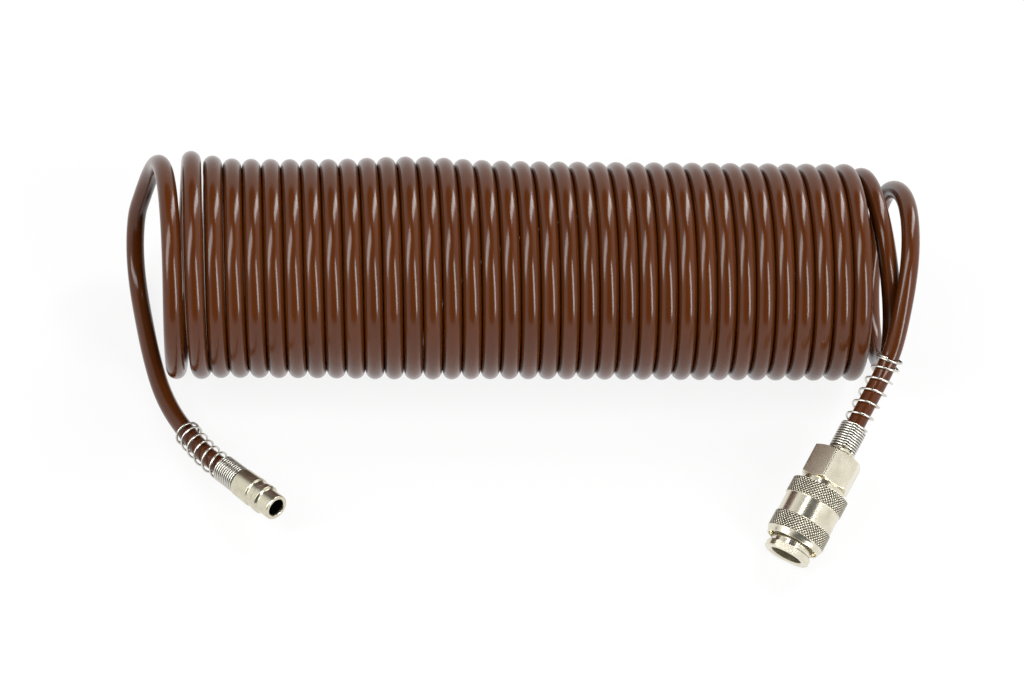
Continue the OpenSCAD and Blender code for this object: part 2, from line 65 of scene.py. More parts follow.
def unit(vectors: np.ndarray) -> np.ndarray:
    """Vectors along the last axis, each divided by its own length."""
    return vectors / np.linalg.norm(vectors, axis=-1, keepdims=True)


def ease(u: np.ndarray) -> np.ndarray:
    """The smooth step: 3 u squared less 2 u cubed, with u held between 0 and 1."""
    c = np.clip(u, 0.0, 1.0)
    return c * c * (3.0 - 2.0 * c)


def bell(u: np.ndarray) -> np.ndarray:
    """The bell curve: e to the minus u squared."""
    return np.exp(-u * u)


def grid_mesh(name: str, points: np.ndarray, uv: np.ndarray | None = None,
              closed: bool = False) -> bpy.types.Object:
    """Makes a smooth surface from a grid of points whose columns close on themselves.

    Point (i, j) is joined to (i + 1, j) and (i, j + 1), and the last column to the first. A closed grid
    also joins its last row to its first. An open one gets a point in the middle of each end ring, and
    a fan of triangles to it.

    Args:
        name: Name of the object and its mesh.
        points: Array of rows x columns x 3, in metres, whose columns run anticlockwise seen from the
            last row.
        uv: Array of rows x columns x 2 with a place on the surface for each point, or None.
        closed: Whether the last row joins the first.

    Returns:
        The object, in the scene, with its origin at the frame's origin.
    """
    rows, columns = points.shape[:2]
    index = np.arange(rows * columns).reshape(rows, columns)
    below = index if closed else index[:-1]
    above = np.roll(index, -1, axis=0) if closed else index[1:]
    quads = np.stack([below, np.roll(below, -1, axis=1), np.roll(above, -1, axis=1), above], axis=-1)
    faces = [quads.reshape(-1, 4)]
    vertices = [points.reshape(-1, 3)]
    if not closed:
        ends = points[[0, -1]].mean(axis=1)
        vertices.append(ends)
        first, last = rows * columns, rows * columns + 1
        start = np.stack([np.roll(index[0], -1), index[0], np.full(columns, first)], axis=-1)
        stop = np.stack([index[-1], np.roll(index[-1], -1), np.full(columns, last)], axis=-1)
        faces += [start, stop]
    mesh = bpy.data.meshes.new(name)
    all_vertices = np.concatenate(vertices)
    mesh.vertices.add(len(all_vertices))
    mesh.vertices.foreach_set("co", all_vertices.astype(np.float32).ravel())
    corners = np.concatenate([f.ravel() for f in faces])
    sizes = np.concatenate([np.full(len(f), f.shape[1]) for f in faces])
    mesh.loops.add(len(corners))
    mesh.loops.foreach_set("vertex_index", corners.astype(np.int32))
    mesh.polygons.add(len(sizes))
    mesh.polygons.foreach_set("loop_start", np.concatenate([[0], np.cumsum(sizes)[:-1]]).astype(np.int32))
    mesh.polygons.foreach_set("use_smooth", np.ones(len(sizes), dtype=bool))
    if uv is not None:
        flat = np.concatenate([uv.reshape(-1, 2)] + ([] if closed else [uv[[0, -1], 0]]))
        corner_uv = flat[corners]
        wrap = np.zeros(len(corners))
        seam_faces = (np.arange(len(quads)) * columns + columns - 1)[:, None] * 4 + np.array([1, 2])
        wrap[seam_faces.ravel()] = 1.0
        corner_uv[:, 1] += wrap
        layer = mesh.uv_layers.new(name="surface")
        layer.uv.foreach_set("vector", corner_uv.astype(np.float32).ravel())
    mesh.update(calc_edges=True)
    mesh.validate()
    piece = bpy.data.objects.new(name, mesh)
    bpy.context.scene.collection.objects.link(piece)
    return piece


def mark_painted_shade(piece: bpy.types.Object, depth: np.ndarray) -> None:
    """Stores how much painted shade each point of a piece gets, from 0 to 1, in an attribute that the metal
    finishes turn dark.
    """
    layer = piece.data.attributes.new("painted_shade", "FLOAT", "POINT")
    layer.data.foreach_set("value", depth.astype(np.float32).ravel())


def rings_along(path: np.ndarray, radius: np.ndarray | float, sides: int,
                reference: np.ndarray) -> np.ndarray:
    """Carries a circle along a path.

    Ring i is the path's point i plus radius times (cosine of a times e1 plus sine of a times e2), where e1
    is the reference direction made square to the path and e2 is square to both.

    Args:
        path: Array of n x 3 points.
        radius: Radius of the tube, one number or one for each point.
        sides: Points around the tube.
        reference: Direction, or array of n directions, that the first point of each ring turns to.

    Returns:
        Array of n x sides x 3 points.
    """
    way = unit(np.gradient(path, axis=0))
    turned = np.broadcast_to(reference, way.shape)
    e1 = unit(turned - (turned * way).sum(axis=1, keepdims=True) * way)
    e2 = np.cross(way, e1)
    angle = 2.0 * np.pi * np.arange(sides) / sides
    size = np.broadcast_to(np.asarray(radius, dtype=float), (len(path),))[:, None, None]
    around = np.cos(angle)[None, :, None] * e1[:, None, :] + np.sin(angle)[None, :, None] * e2[:, None, :]
    return path[:, None, :] + size * around


def running_length(path: np.ndarray) -> np.ndarray:
    """Length run at each point of a path, from its first point."""
    steps = np.linalg.norm(np.diff(path, axis=0), axis=1)
    return np.concatenate([[0.0], np.cumsum(steps)])


def spline(control: np.ndarray, steps: int = 24) -> np.ndarray:
    """Uniform cubic B-spline over control points: each span blends four of them with the basis cubics."""
    u = (np.arange(steps) / steps)[:, None]
    basis = np.stack([(1 - u) ** 3, 3 * u**3 - 6 * u**2 + 4, 3 * u + 3 * u**2 - 3 * u**3 + 1, u**3]) / 6.0
    spans = [sum(basis[k] * control[i + k] for k in range(4)) for i in range(len(control) - 3)]
    return np.concatenate(spans)


def round_corners(corners: np.ndarray, radii: np.ndarray, steps: int = 6) -> np.ndarray:
    """Rounds each corner of a closed outline with an arc that touches both of its sides.

    The arc's centre lies on the corner's bisector. Its points are the two touching points blended by the
    sines of their shares of the arc's angle. A point close to each end of the arc holds the flat beside it
    flat in the shading.

    Args:
        corners: Array of n x 2 points, as radius and z.
        radii: Radius of the arc at each corner.
        steps: Points on each arc.

    Returns:
        Array of points x 2 along the rounded outline.
    """
    back = np.roll(corners, 1, axis=0) - corners
    ahead = np.roll(corners, -1, axis=0) - corners
    sides = np.minimum(np.linalg.norm(back, axis=1), np.linalg.norm(ahead, axis=1))
    u, v = unit(back), unit(ahead)
    half = 0.5 * np.arccos(np.clip((u * v).sum(axis=1), -0.9999, 0.9999))
    reach = np.minimum(radii / np.tan(half), 0.4 * sides)
    centre = corners + unit(u + v) * (reach / np.cos(half))[:, None]
    first = corners + u * reach[:, None] - centre
    last = corners + v * reach[:, None] - centre
    sweep = np.pi - 2.0 * half
    share = np.linspace(0.0, 1.0, steps)[None, :]
    turned = np.stack([(1 - share) * sweep[:, None], share * sweep[:, None]])
    weights = np.sin(turned) / np.sin(sweep)[:, None]
    arc = centre[:, None] + weights[0][..., None] * first[:, None] + weights[1][..., None] * last[:, None]
    hold = (reach + np.minimum(0.04, 0.09 * sides))[:, None]
    rounded = np.concatenate([(corners + u * hold)[:, None], arc, (corners + v * hold)[:, None]], axis=1)
    return rounded.reshape(-1, 2)


def refine(outline: np.ndarray, step: float | np.ndarray) -> np.ndarray:
    """Adds points to a closed outline until no two neighbours are more than a step apart.

    Args:
        outline: Array of n x 2 points.
        step: Largest distance between neighbours, one number or one for each point and the next.

    Returns:
        Array of points x 2, the outline's own among them.
    """
    nearby = np.roll(outline, -1, axis=0)
    parts = np.maximum(np.ceil(np.linalg.norm(nearby - outline, axis=1) / step), 1).astype(int)
    start = np.repeat(np.arange(len(outline)), parts)
    order = np.arange(len(start)) - np.repeat(np.cumsum(parts) - parts, parts)
    share = (order / parts[start])[:, None]
    return outline[start] * (1.0 - share) + nearby[start] * share


def spun(outline: np.ndarray, columns: int) -> np.ndarray:
    """Turns an outline about the z axis: radius times cosine, radius times sine, and z.

    Args:
        outline: Array of n x 2 points, as radius and z, anticlockwise with the radius to the right.
        columns: Points around the axis.

    Returns:
        Array of n x columns x 3 points.
    """
    angle = 2.0 * np.pi * np.arange(columns) / columns
    r, z = outline[:, 0, None], outline[:, 1, None]
    return np.stack(np.broadcast_arrays(r * np.cos(angle), r * np.sin(angle), z), axis=-1)


@dataclass(frozen=True)
class Axis:
    """The axis of a fitting: where the hose enters it, and where it points.

    Args:
        entry: Point in the frame, in metres, where z = 0.
        heading: Angle of the axis about Z from X, in degrees.
        pitch: Angle of the axis above the floor, in degrees.
    """

    entry: tuple[float, float, float]
    heading: float
    pitch: float

    def matrix(self) -> Matrix:
        """Turns the fitting's own coordinates into the frame's."""
        turn = Matrix.Rotation(math.radians(self.heading), 4, "Z")
        tip = Matrix.Rotation(math.radians(90.0 - self.pitch), 4, "Y")
        return Matrix.Translation(Vector(self.entry)) @ turn @ tip

    def place(self, points: np.ndarray) -> np.ndarray:
        """Points in millimetres on the fitting's own axes, in metres in the frame."""
        m = np.array(self.matrix())
        return (points * MM) @ m[:3, :3].T + m[:3, 3]

    @property
    def way(self) -> np.ndarray:
        """Direction of the axis, out of the hose."""
        return np.array(self.matrix())[:3, 2]


# ---------------------------------------------------------------- Sizes shared by the pieces

HOSE_R = 4.1 * MM
TURNS = 37
PITCH = 8.65 * MM
MIDDLE = 18.5
FIRST_CREST = np.array([-MIDDLE * PITCH, 0.0, 0.0])
LAST_CREST = np.array([(TURNS - 1 - MIDDLE) * PITCH, 0.0, 0.0])
STEM_DEPTH = 12.6

PLUG_AXIS = Axis(tuple(FIRST_CREST + np.array([22.4, -85.6, 12.9]) * MM), -48.5, 11.5)
COUPLER_AXIS = Axis(tuple(LAST_CREST + np.array([-10.0, -77.5, 34.0]) * MM), -121.5, -21.3)

PLUG_TAIL_POINTS = np.array(
    [[-21, 40.5, 20.5], [-20.5, 31, 10.5], [-18.5, 18.5, 5], [-16, 5, 4.2], [-13.5, -8.5, 4.2],
     [-10.5, -22, 4.2], [-7, -35, 4.2], [-2, -47.5, 4.5], [4, -59, 6.5], [10.5, -70, 9]]
)
COUPLER_TAIL_POINTS = np.array(
    [[11.5, 41.5, 45.5], [13, 39.5, 59.5], [14.5, 31.5, 70.5], [15.5, 21, 79.5], [16, 8.5, 85],
     [15.5, -5.5, 86.5], [14.5, -18.5, 83.5], [13, -29, 76.5], [11, -38, 67.5], [9, -45.5, 57.5],
     [6.5, -51, 46.5]]
)


# ---------------------------------------------------------------- Finishes


class Finish(Enum):
    """The finishes on the object, by the record's material slot."""

    HOSE = "hose"
    FITTING = "plated_fitting"
    SLEEVE = "plated_sleeve"
    GUARD_WIRE = "guard_wire"
    SPRING_WIRE = "spring_wire"
    BALL = "ball_steel"
    BRASS = "valve_brass"
    RUBBER = "seal_rubber"


def new_material(name: str) -> tuple[bpy.types.Material, bpy.types.NodeTree, bpy.types.Node]:
    """A material with nodes, and its Principled shader."""
    material = bpy.data.materials.new(name)
    material.use_nodes = True
    tree = material.node_tree
    return material, tree, tree.nodes["Principled BSDF"]


def add_node(tree: bpy.types.NodeTree, kind: str, inputs: dict[str | int, object] | None = None,
             **settings: object) -> bpy.types.Node:
    """A new node with the given settings, and the given values on its input sockets."""
    node = tree.nodes.new(kind)
    for key, value in settings.items():
        setattr(node, key, value)
    for socket, value in (inputs or {}).items():
        node.inputs[socket].default_value = value
    return node


def connect(tree: bpy.types.NodeTree, *links: tuple[bpy.types.Node, str, bpy.types.Node, str | int]) -> None:
    """Links sockets, each given as a node, its output, the next node and that one's input."""
    for start, output, stop, into in links:
        tree.links.new(start.outputs[output], stop.inputs[into])


def surface_group() -> bpy.types.NodeTree:
    """A node group that gives mottling and scratches: one noise for the tone and one for the gloss.

    Returns:
        The group, with inputs Vector, Tone scale and Scratch scale, and outputs Tone and Scratch.
    """
    found = bpy.data.node_groups.get("fine surface")
    if found:
        return found
    tree = bpy.data.node_groups.new("fine surface", "ShaderNodeTree")
    tree.interface.new_socket("Vector", in_out="INPUT", socket_type="NodeSocketVector")
    for side, names in (("INPUT", ("Tone scale", "Scratch scale")), ("OUTPUT", ("Tone", "Scratch"))):
        for name in names:
            tree.interface.new_socket(name, in_out=side, socket_type="NodeSocketFloat")
    start = add_node(tree, "NodeGroupInput")
    stop = add_node(tree, "NodeGroupOutput")
    tone = add_node(tree, "ShaderNodeTexNoise", {"Detail": 3.0})
    scratch = add_node(tree, "ShaderNodeTexNoise", {"Detail": 2.0})
    connect(
        tree,
        (start, "Vector", tone, "Vector"), (start, "Tone scale", tone, "Scale"),
        (start, "Vector", scratch, "Vector"), (start, "Scratch scale", scratch, "Scale"),
        (tone, "Fac", stop, "Tone"), (scratch, "Fac", stop, "Scratch"),
    )
    return tree


def fine_surface(tree: bpy.types.NodeTree, tone_scale: float, scratch_scale: float) -> bpy.types.Node:
    """Places the group of mottling and scratches in a material."""
    scales = {"Tone scale": tone_scale, "Scratch scale": scratch_scale}
    return add_node(tree, "ShaderNodeGroup", scales, node_tree=surface_group())


def two_tones(tree: bpy.types.NodeTree, first: tuple[float, ...],
              second: tuple[float, ...]) -> bpy.types.Node:
    """A mix of two linear colours."""
    return add_node(tree, "ShaderNodeMix", {"A": (*first, 1.0), "B": (*second, 1.0)}, data_type="RGBA")


def ramp(tree: bpy.types.NodeTree, start: float = 0.0, stop: float = 1.0, low: float = 0.0,
         high: float = 1.0, **settings: object) -> bpy.types.Node:
    """A value that goes from low to high while its input goes from start to stop."""
    inputs = {"From Min": start, "From Max": stop, "To Min": low, "To Max": high}
    return add_node(tree, "ShaderNodeMapRange", inputs, **settings)


@dataclass(frozen=True)
class Plastic:
    """Smooth extruded polyamide, with faint die lines along the hose.

    Args:
        name: Name of the material.
        color: Linear base colour.
        dark: Linear colour of the darker mottling.
        roughness: Middle of the roughness.
        ior: Index of refraction.
        draw: Repeats of the pattern in each metre along the hose, against one around it.
    """

    name: str
    color: tuple[float, float, float]
    dark: tuple[float, float, float]
    roughness: float
    ior: float = 1.42
    draw: float = 8.0

    def build(self) -> bpy.types.Material:
        """Makes the material.

        Returns:
            A gloss plastic whose tone varies slightly along the hose and whose gloss has die lines.
        """
        material, tree, shader = new_material(self.name)
        shader.inputs["IOR"].default_value = self.ior
        place = add_node(tree, "ShaderNodeUVMap", uv_map="surface")
        stretch = add_node(tree, "ShaderNodeMapping", {"Scale": (self.draw, 1.0, 1.0)})
        group = fine_surface(tree, tone_scale=2.5, scratch_scale=11.0)
        tone = ramp(tree, 0.3, 0.6)
        mix = two_tones(tree, self.dark, self.color)
        gloss = ramp(tree, low=self.roughness - 0.012, high=self.roughness + 0.02)
        connect(
            tree,
            (place, "UV", stretch, "Vector"), (stretch, "Vector", group, "Vector"),
            (group, "Tone", tone, "Value"), (tone, "Result", mix, "Factor"),
            (mix, "Result", shader, "Base Color"),
            (group, "Scratch", gloss, "Value"), (gloss, "Result", shader, "Roughness"),
        )
        return material


@dataclass(frozen=True)
class Metal:
    """A bright metal with fine lathe lines or drawing lines, a little tarnish, and painted shade where the
    pieces mark grooves and bores.

    Args:
        name: Name of the material.
        color: Linear base colour.
        dark: Linear colour where it is dull.
        roughness: Middle of the roughness.
        axis: Axis that the lathe lines go round, or None.
        lines: Depth of the lathe lines, in metres.
        spread: How far the roughness strays from its middle.
        metallic: Share of the surface that mirrors as bare metal does.
        painted_shade: Linear colour of the painted shade in the grooves and bores that the pieces mark.
        grime: How much rougher the surface is under the painted shade.
    """

    name: str
    color: tuple[float, float, float]
    dark: tuple[float, float, float]
    roughness: float
    axis: Axis | None = None
    lines: float = 0.0
    spread: float = 0.02
    metallic: float = 0.93
    painted_shade: tuple[float, float, float] = (0.032, 0.026, 0.018)
    grime: float = 0.35

    def build(self) -> bpy.types.Material:
        """Makes the material.

        Returns:
            A metal whose tone and gloss vary, with lines square to the axis where there is one, and painted
            shade in the marked grooves and bores.
        """
        material, tree, shader = new_material(self.name)
        shader.inputs["Metallic"].default_value = self.metallic
        place = add_node(tree, "ShaderNodeTexCoord")
        turn = add_node(tree, "ShaderNodeMapping")
        if self.axis:
            inverse = self.axis.matrix().inverted()
            turn.inputs["Location"].default_value = inverse.to_translation()
            turn.inputs["Rotation"].default_value = inverse.to_euler()
        group = fine_surface(tree, tone_scale=160.0, scratch_scale=500.0)
        tone = ramp(tree, 0.3, 0.55)
        mix = two_tones(tree, self.dark, self.color)
        gloss = ramp(tree, low=self.roughness - self.spread, high=self.roughness + self.spread)
        # Painted shade: where the pieces mark grooves and bores, the colour turns dark and the gloss rougher.
        mark = add_node(tree, "ShaderNodeAttribute", attribute_name="painted_shade")
        shade_mix = two_tones(tree, self.dark, self.painted_shade)
        dull = add_node(tree, "ShaderNodeMath", {1: self.grime}, operation="MULTIPLY_ADD")
        connect(
            tree,
            (place, "Object", turn, "Vector"), (turn, "Vector", group, "Vector"),
            (group, "Tone", tone, "Value"), (tone, "Result", mix, "Factor"),
            (mix, "Result", shade_mix, "A"), (mark, "Fac", shade_mix, "Factor"),
            (shade_mix, "Result", shader, "Base Color"),
            (group, "Scratch", gloss, "Value"), (mark, "Fac", dull, 0), (gloss, "Result", dull, 2),
            (dull, "Value", shader, "Roughness"),
        )
        if self.lines:
            squeeze = add_node(tree, "ShaderNodeMapping", {"Scale": (30.0, 30.0, 2600.0)})
            rings = add_node(tree, "ShaderNodeTexNoise", {"Scale": 1.0, "Detail": 2.0})
            bump = add_node(tree, "ShaderNodeBump", {"Strength": 0.12, "Distance": self.lines})
            connect(
                tree,
                (turn, "Vector", squeeze, "Vector"), (squeeze, "Vector", rings, "Vector"),
                (rings, "Fac", bump, "Height"), (bump, "Normal", shader, "Normal"),
            )
        return material


@dataclass(frozen=True)
class Rubber:
    """Black nitrile rubber with a dull bloom.

    Args:
        name: Name of the material.
        color: Linear base colour.
        bloom: How much paler the bloom is than the rubber.
    """

    name: str
    color: tuple[float, float, float]
    bloom: float = 1.8

    def build(self) -> bpy.types.Material:
        """Makes the material.

        Returns:
            A dull rubber whose roughness varies.
        """
        material, tree, shader = new_material(self.name)
        place = add_node(tree, "ShaderNodeTexCoord")
        group = fine_surface(tree, tone_scale=60.0, scratch_scale=900.0)
        gloss = ramp(tree, low=0.45, high=0.7)
        mix = two_tones(tree, self.color, tuple(c * self.bloom for c in self.color))
        connect(
            tree,
            (place, "Object", group, "Vector"),
            (group, "Scratch", gloss, "Value"), (gloss, "Result", shader, "Roughness"),
            (group, "Tone", mix, "Factor"), (mix, "Result", shader, "Base Color"),
        )
        return material


def make_finishes() -> dict[str, bpy.types.Material]:
    """Every material on the object, by name."""
    nickel = (0.75, 0.705, 0.575)
    dull = (0.65, 0.605, 0.485)
    steel = (0.68, 0.66, 0.60)
    dark_steel = (0.55, 0.53, 0.47)
    specs = [
        Plastic("brown polyamide", (0.085, 0.0200, 0.0024), (0.072, 0.0167, 0.002), roughness=0.18),
        Metal("plug nickel", (0.65, 0.61, 0.48), (0.53, 0.49, 0.375), roughness=0.2,
              axis=PLUG_AXIS, lines=0.000002),
        Metal("coupler nickel", nickel, dull, roughness=0.18, axis=COUPLER_AXIS),
        Metal("sleeve nickel", nickel, dull, roughness=0.2, axis=COUPLER_AXIS),
        Metal("guard wire", steel, dark_steel, roughness=0.2, spread=0.005),
        Metal("spring wire", steel, dark_steel, roughness=0.28),
        Metal("ball steel", steel, dark_steel, roughness=0.1),
        Metal("turned brass", (0.80, 0.58, 0.24), (0.66, 0.45, 0.18), roughness=0.24,
              axis=COUPLER_AXIS, lines=0.00002),
        Rubber("seal rubber", (0.012, 0.012, 0.012)),
    ]
    return {spec.name: spec.build() for spec in specs}


def dress(piece: bpy.types.Object, material: bpy.types.Material) -> None:
    """Gives a piece one material."""
    piece.data.materials.clear()
    piece.data.materials.append(material)


# ---------------------------------------------------------------- Hose


@dataclass(frozen=True)
class Change:
    """A change of a size along the coil.

    Args:
        size: What the size gains, in millimetres.
        at: Turn count where a bell is highest, or where a step begins.
        width: Turns from there to where the bell is down to 1 / e, or to where the step ends.
        curve: The bell, after which the size is what it was, or ease, a step to another size.
    """

    size: float
    at: float
    width: float
    curve: Callable[[np.ndarray], np.ndarray] = bell

    def over(self, t: np.ndarray) -> np.ndarray:
        """What the size has gained after t turns."""
        return self.size * self.curve((t - self.at) / self.width)


@dataclass
class CoiledHose:
    """The hose: 37 close turns and the two tails that run from them to the fittings.

    Args:
        rings_per_turn: Rings of the tube in one turn of the coil.
        sides: Points around the tube.
        swell: What the radius gains where the turns press on each other, in metres.
        start: Turn count where the coil begins, a quarter turn ahead of its first crest.
        stop: Turn count where it ends, a third of a turn short of the last crest.
        stub: Straight stretch of hose at each end of the coil, in metres.
        grow: Run over which the radius takes up the swell, in metres.
        straight_in: Straight run of the hose ahead of each fitting, in metres.
        radius: Radius of a turn's centreline, in millimetres.
        foot: Depth of the flat that a turn stands on, in millimetres.
        along: Changes of the place along X: the first turn's lean, and the last one's step and bow.
        across: Changes of the turns' radius: two wider stretches, and the narrow last turn.
        sweep_start: Turn count before which the first turn sweeps away to its tail.
        sweep: How far it sweeps, in millimetres for each turn squared.
    """

    rings_per_turn: int = 72
    sides: int = 24
    swell: float = 0.2 * MM
    start: float = -0.25
    stop: float = TURNS - 1 / 3
    stub: float = 2 * HOSE_R
    grow: float = 0.12
    straight_in: float = 12 * MM
    radius: float = 45.0
    foot: float = 0.82
    along: tuple[Change, ...] = (
        Change(-3.0, 0.5, 0.33), Change(5.0, TURNS - 1.2, 0.4, ease), Change(2.5, TURNS - 0.72, 0.2),
    )
    across: tuple[Change, ...] = (
        Change(2.0, 0.8, 1.1), Change(1.0, 12.2, 3.0), Change(-8.5, TURNS - 1.25, 0.5, ease),
    )
    sweep_start: float = 0.15
    sweep: float = 84.0

    def coil_at(self, t: np.ndarray) -> np.ndarray:
        """Centreline of the coil after t turns.

        The place along X is the pitch times the turns run, and the place across is a circle that stands
        on the floor. The changes along the coil are added to both.
        """
        x = PITCH / MM * (t - MIDDLE) + sum(change.over(t) for change in self.along)
        x -= self.sweep * np.maximum(self.sweep_start - t, 0.0) ** 2
        r = self.radius + sum(change.over(t) for change in self.across)
        angle = 2.0 * np.pi * t
        z = r + HOSE_R / MM - self.foot + r * np.cos(angle)
        return np.stack([x, -r * np.sin(angle), z], axis=-1) * MM

    def way_at(self, t: float) -> np.ndarray:
        """Direction of the coil after t turns."""
        ends = self.coil_at(np.array([t - 0.001, t + 0.001]))
        return unit(ends[1] - ends[0])

    def tail(self, turn: float, outward: float, crest: np.ndarray, points: np.ndarray,
             axis: Axis) -> np.ndarray:
        """Centreline of a tail, from the coil's end to the fitting.

        Args:
            turn: Turn count at which the coil ends.
            outward: 1 where the tail leaves the coil forwards, and -1 where it leaves it backwards.
            crest: Nearest crest of the coil, from which the points are measured.
            points: Points along the tail, in millimetres.
            axis: Axis of the fitting.

        Returns:
            Points of the smooth curve over them, in metres.
        """
        way = outward * self.way_at(turn)
        begin = self.coil_at(np.array([turn]))[0] + self.stub * way
        entry = np.array(axis.entry)
        control = np.concatenate([
            [begin - self.stub * way, begin, begin + self.stub * way],
            crest + points * MM,
            [entry - self.straight_in * axis.way, entry, entry + self.straight_in * axis.way],
        ])
        return np.concatenate([spline(control), [entry]])

    def plug_tail(self) -> np.ndarray:
        """Centreline of the tail that ends in the plug."""
        return self.tail(self.start, -1.0, FIRST_CREST, PLUG_TAIL_POINTS, PLUG_AXIS)

    def coupler_tail(self) -> np.ndarray:
        """Centreline of the tail that ends in the coupler."""
        return self.tail(self.stop, 1.0, LAST_CREST, COUPLER_TAIL_POINTS, COUPLER_AXIS)

    def path(self) -> np.ndarray:
        """Centreline of the whole hose, from the plug's entry to the coupler's."""
        steps = round((self.stop - self.start) * self.rings_per_turn)
        coil = self.coil_at(np.linspace(self.start, self.stop, steps + 1))
        return np.concatenate([self.plug_tail()[::-1], coil, self.coupler_tail()])

    def build(self, material: bpy.types.Material) -> bpy.types.Object:
        """Args:
            material: Finish of the hose.

        Returns:
            The tube, whose underside is flat where the turns stand on the floor.
        """
        path = self.path()
        run = running_length(path)
        plug_run, coupler_run = (running_length(t)[-1] for t in (self.plug_tail(), self.coupler_tail()))
        inside = ease((run - plug_run) / self.grow) * ease((run[-1] - coupler_run - run) / self.grow)
        points = rings_along(path, HOSE_R + self.swell * inside, self.sides, np.array([1.0, 0.0, 0.0]))
        points[..., 2] = np.maximum(points[..., 2], 0.0)
        around = np.arange(self.sides) / self.sides
        uv = np.stack(np.broadcast_arrays(run[:, None], around[None, :]), axis=-1)
        hose = grid_mesh("air_hose", points, uv)
        dress(hose, material)
        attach(hose, "root")
        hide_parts("hose_coil", "hose_tail_plug", "hose_tail_coupler")
        log.info("air_hose: %.3f m of hose", run[-1])
        return hose


# ---------------------------------------------------------------- Springs


@dataclass
class BendGuard:
    """A wire spring round the hose beside a fitting: close turns on the ferrule, then open turns.

    Args:
        node: Node that the spring stands for.
        axis: Axis of the fitting.
        tail: Centreline of the hose, from the coil to the fitting.
        phase: Angle of the wire's first point, in degrees.
        radius: Radius of the wire's centreline, in millimetres.
        open_turns: Open turns.
        open_pitch: Advance of one open turn, in millimetres.
        closed_turns: Turns closed against the last open one.
        wire: Radius of the wire, in millimetres.
        grip_turns: Close turns.
        grip_pitch: Advance of one close turn, in millimetres.
        gap: Space between the first turn and the fitting, in millimetres.
        rings_per_turn: Rings of the wire in one turn.
        sides: Points around the wire.
    """

    node: str
    axis: Axis
    tail: np.ndarray
    phase: float
    radius: float
    open_turns: float
    open_pitch: float
    closed_turns: float
    wire: float = 0.51
    grip_turns: float = 10.0
    grip_pitch: float = 1.2
    gap: float = 0.1
    rings_per_turn: int = 40
    sides: int = 12

    def run(self, k: np.ndarray) -> np.ndarray:
        """How far turn k lies behind the fitting's face, in millimetres.

        The pitch is that of the grip, then of the open part, then of the grip again. The run is averaged
        over a sixth of a turn, so that the wire bends softly from one pitch to the next.
        """
        near = k[:, None] + np.linspace(-1 / 12, 1 / 12, 7)
        ungripped = np.clip(near - self.grip_turns, 0.0, self.open_turns)
        closed = near - ungripped
        return self.wire + self.gap + (closed * self.grip_pitch + ungripped * self.open_pitch).mean(axis=1)

    def wire_path(self) -> tuple[np.ndarray, np.ndarray, np.ndarray, np.ndarray]:
        """Centreline of the wire, and three facts about each of its points.

        Point k is the hose's centre at that run plus the radius times (cosine of a times e1 plus sine of
        a times e2), where a is a turn for each k, e1 is X made square to the hose, and e2 is square to both.

        Returns:
            The centreline, the direction of the hose beside each point, the direction from the hose's
            centre to the point, and 1 where the turns are close or 0 where they are open.
        """
        route = np.concatenate([self.tail, [self.tail[-1] + STEM_DEPTH * MM * self.axis.way]])
        length = running_length(route)
        turns = self.grip_turns + self.open_turns + self.closed_turns
        k = np.linspace(0.0, turns, round(turns * self.rings_per_turn) + 1)
        place = length[-1] - self.run(k) * MM

        def at(station: np.ndarray) -> np.ndarray:
            """Points of the route at the given lengths."""
            return np.stack([np.interp(station, length, route[:, i]) for i in range(3)], axis=-1)

        back = -unit(at(place) - at(place - 1.0 * MM))
        side = unit(np.array([1.0, 0.0, 0.0]) - back[:, :1] * back)
        angle = (2.0 * np.pi * k + math.radians(self.phase))[:, None]
        spoke = np.cos(angle) * side + np.sin(angle) * np.cross(back, side)
        opened = self.grip_turns + self.open_turns
        fade = 0.3
        close = np.maximum(ease((self.grip_turns - k) / fade), ease((k - opened) / fade))
        return at(place) + self.radius * MM * spoke, back, spoke, close

    def build(self, material: bpy.types.Material) -> bpy.types.Object:
        """Makes the spring.

        Args:
            material: Finish of the wire.

        Returns:
            One unbroken tube with closed ends, with painted shade on all but the outer crest of its close
            turns.
        """
        path, back, spoke, close = self.wire_path()
        rings = rings_along(path, self.wire * MM, self.sides, back)
        spring = grid_mesh(f"{self.node}_wire", rings)
        # Painted shade: in the close turns, all of the wire but its outer crest is marked dark, for the shade
        # in the grooves between turns.
        outward = ((rings - path[:, None]) * spoke[:, None]).sum(axis=-1) / (self.wire * MM)
        depth = 0.75 * ease((0.75 - outward) / 0.45) * close[:, None]
        mark_painted_shade(spring, np.concatenate([depth.ravel(), depth[[0, -1], 0]]))
        dress(spring, material)
        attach(spring, "root")
        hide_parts(self.node)
        log.info("%s: %.2f turns", spring.name, self.grip_turns + self.open_turns + self.closed_turns)
        return spring


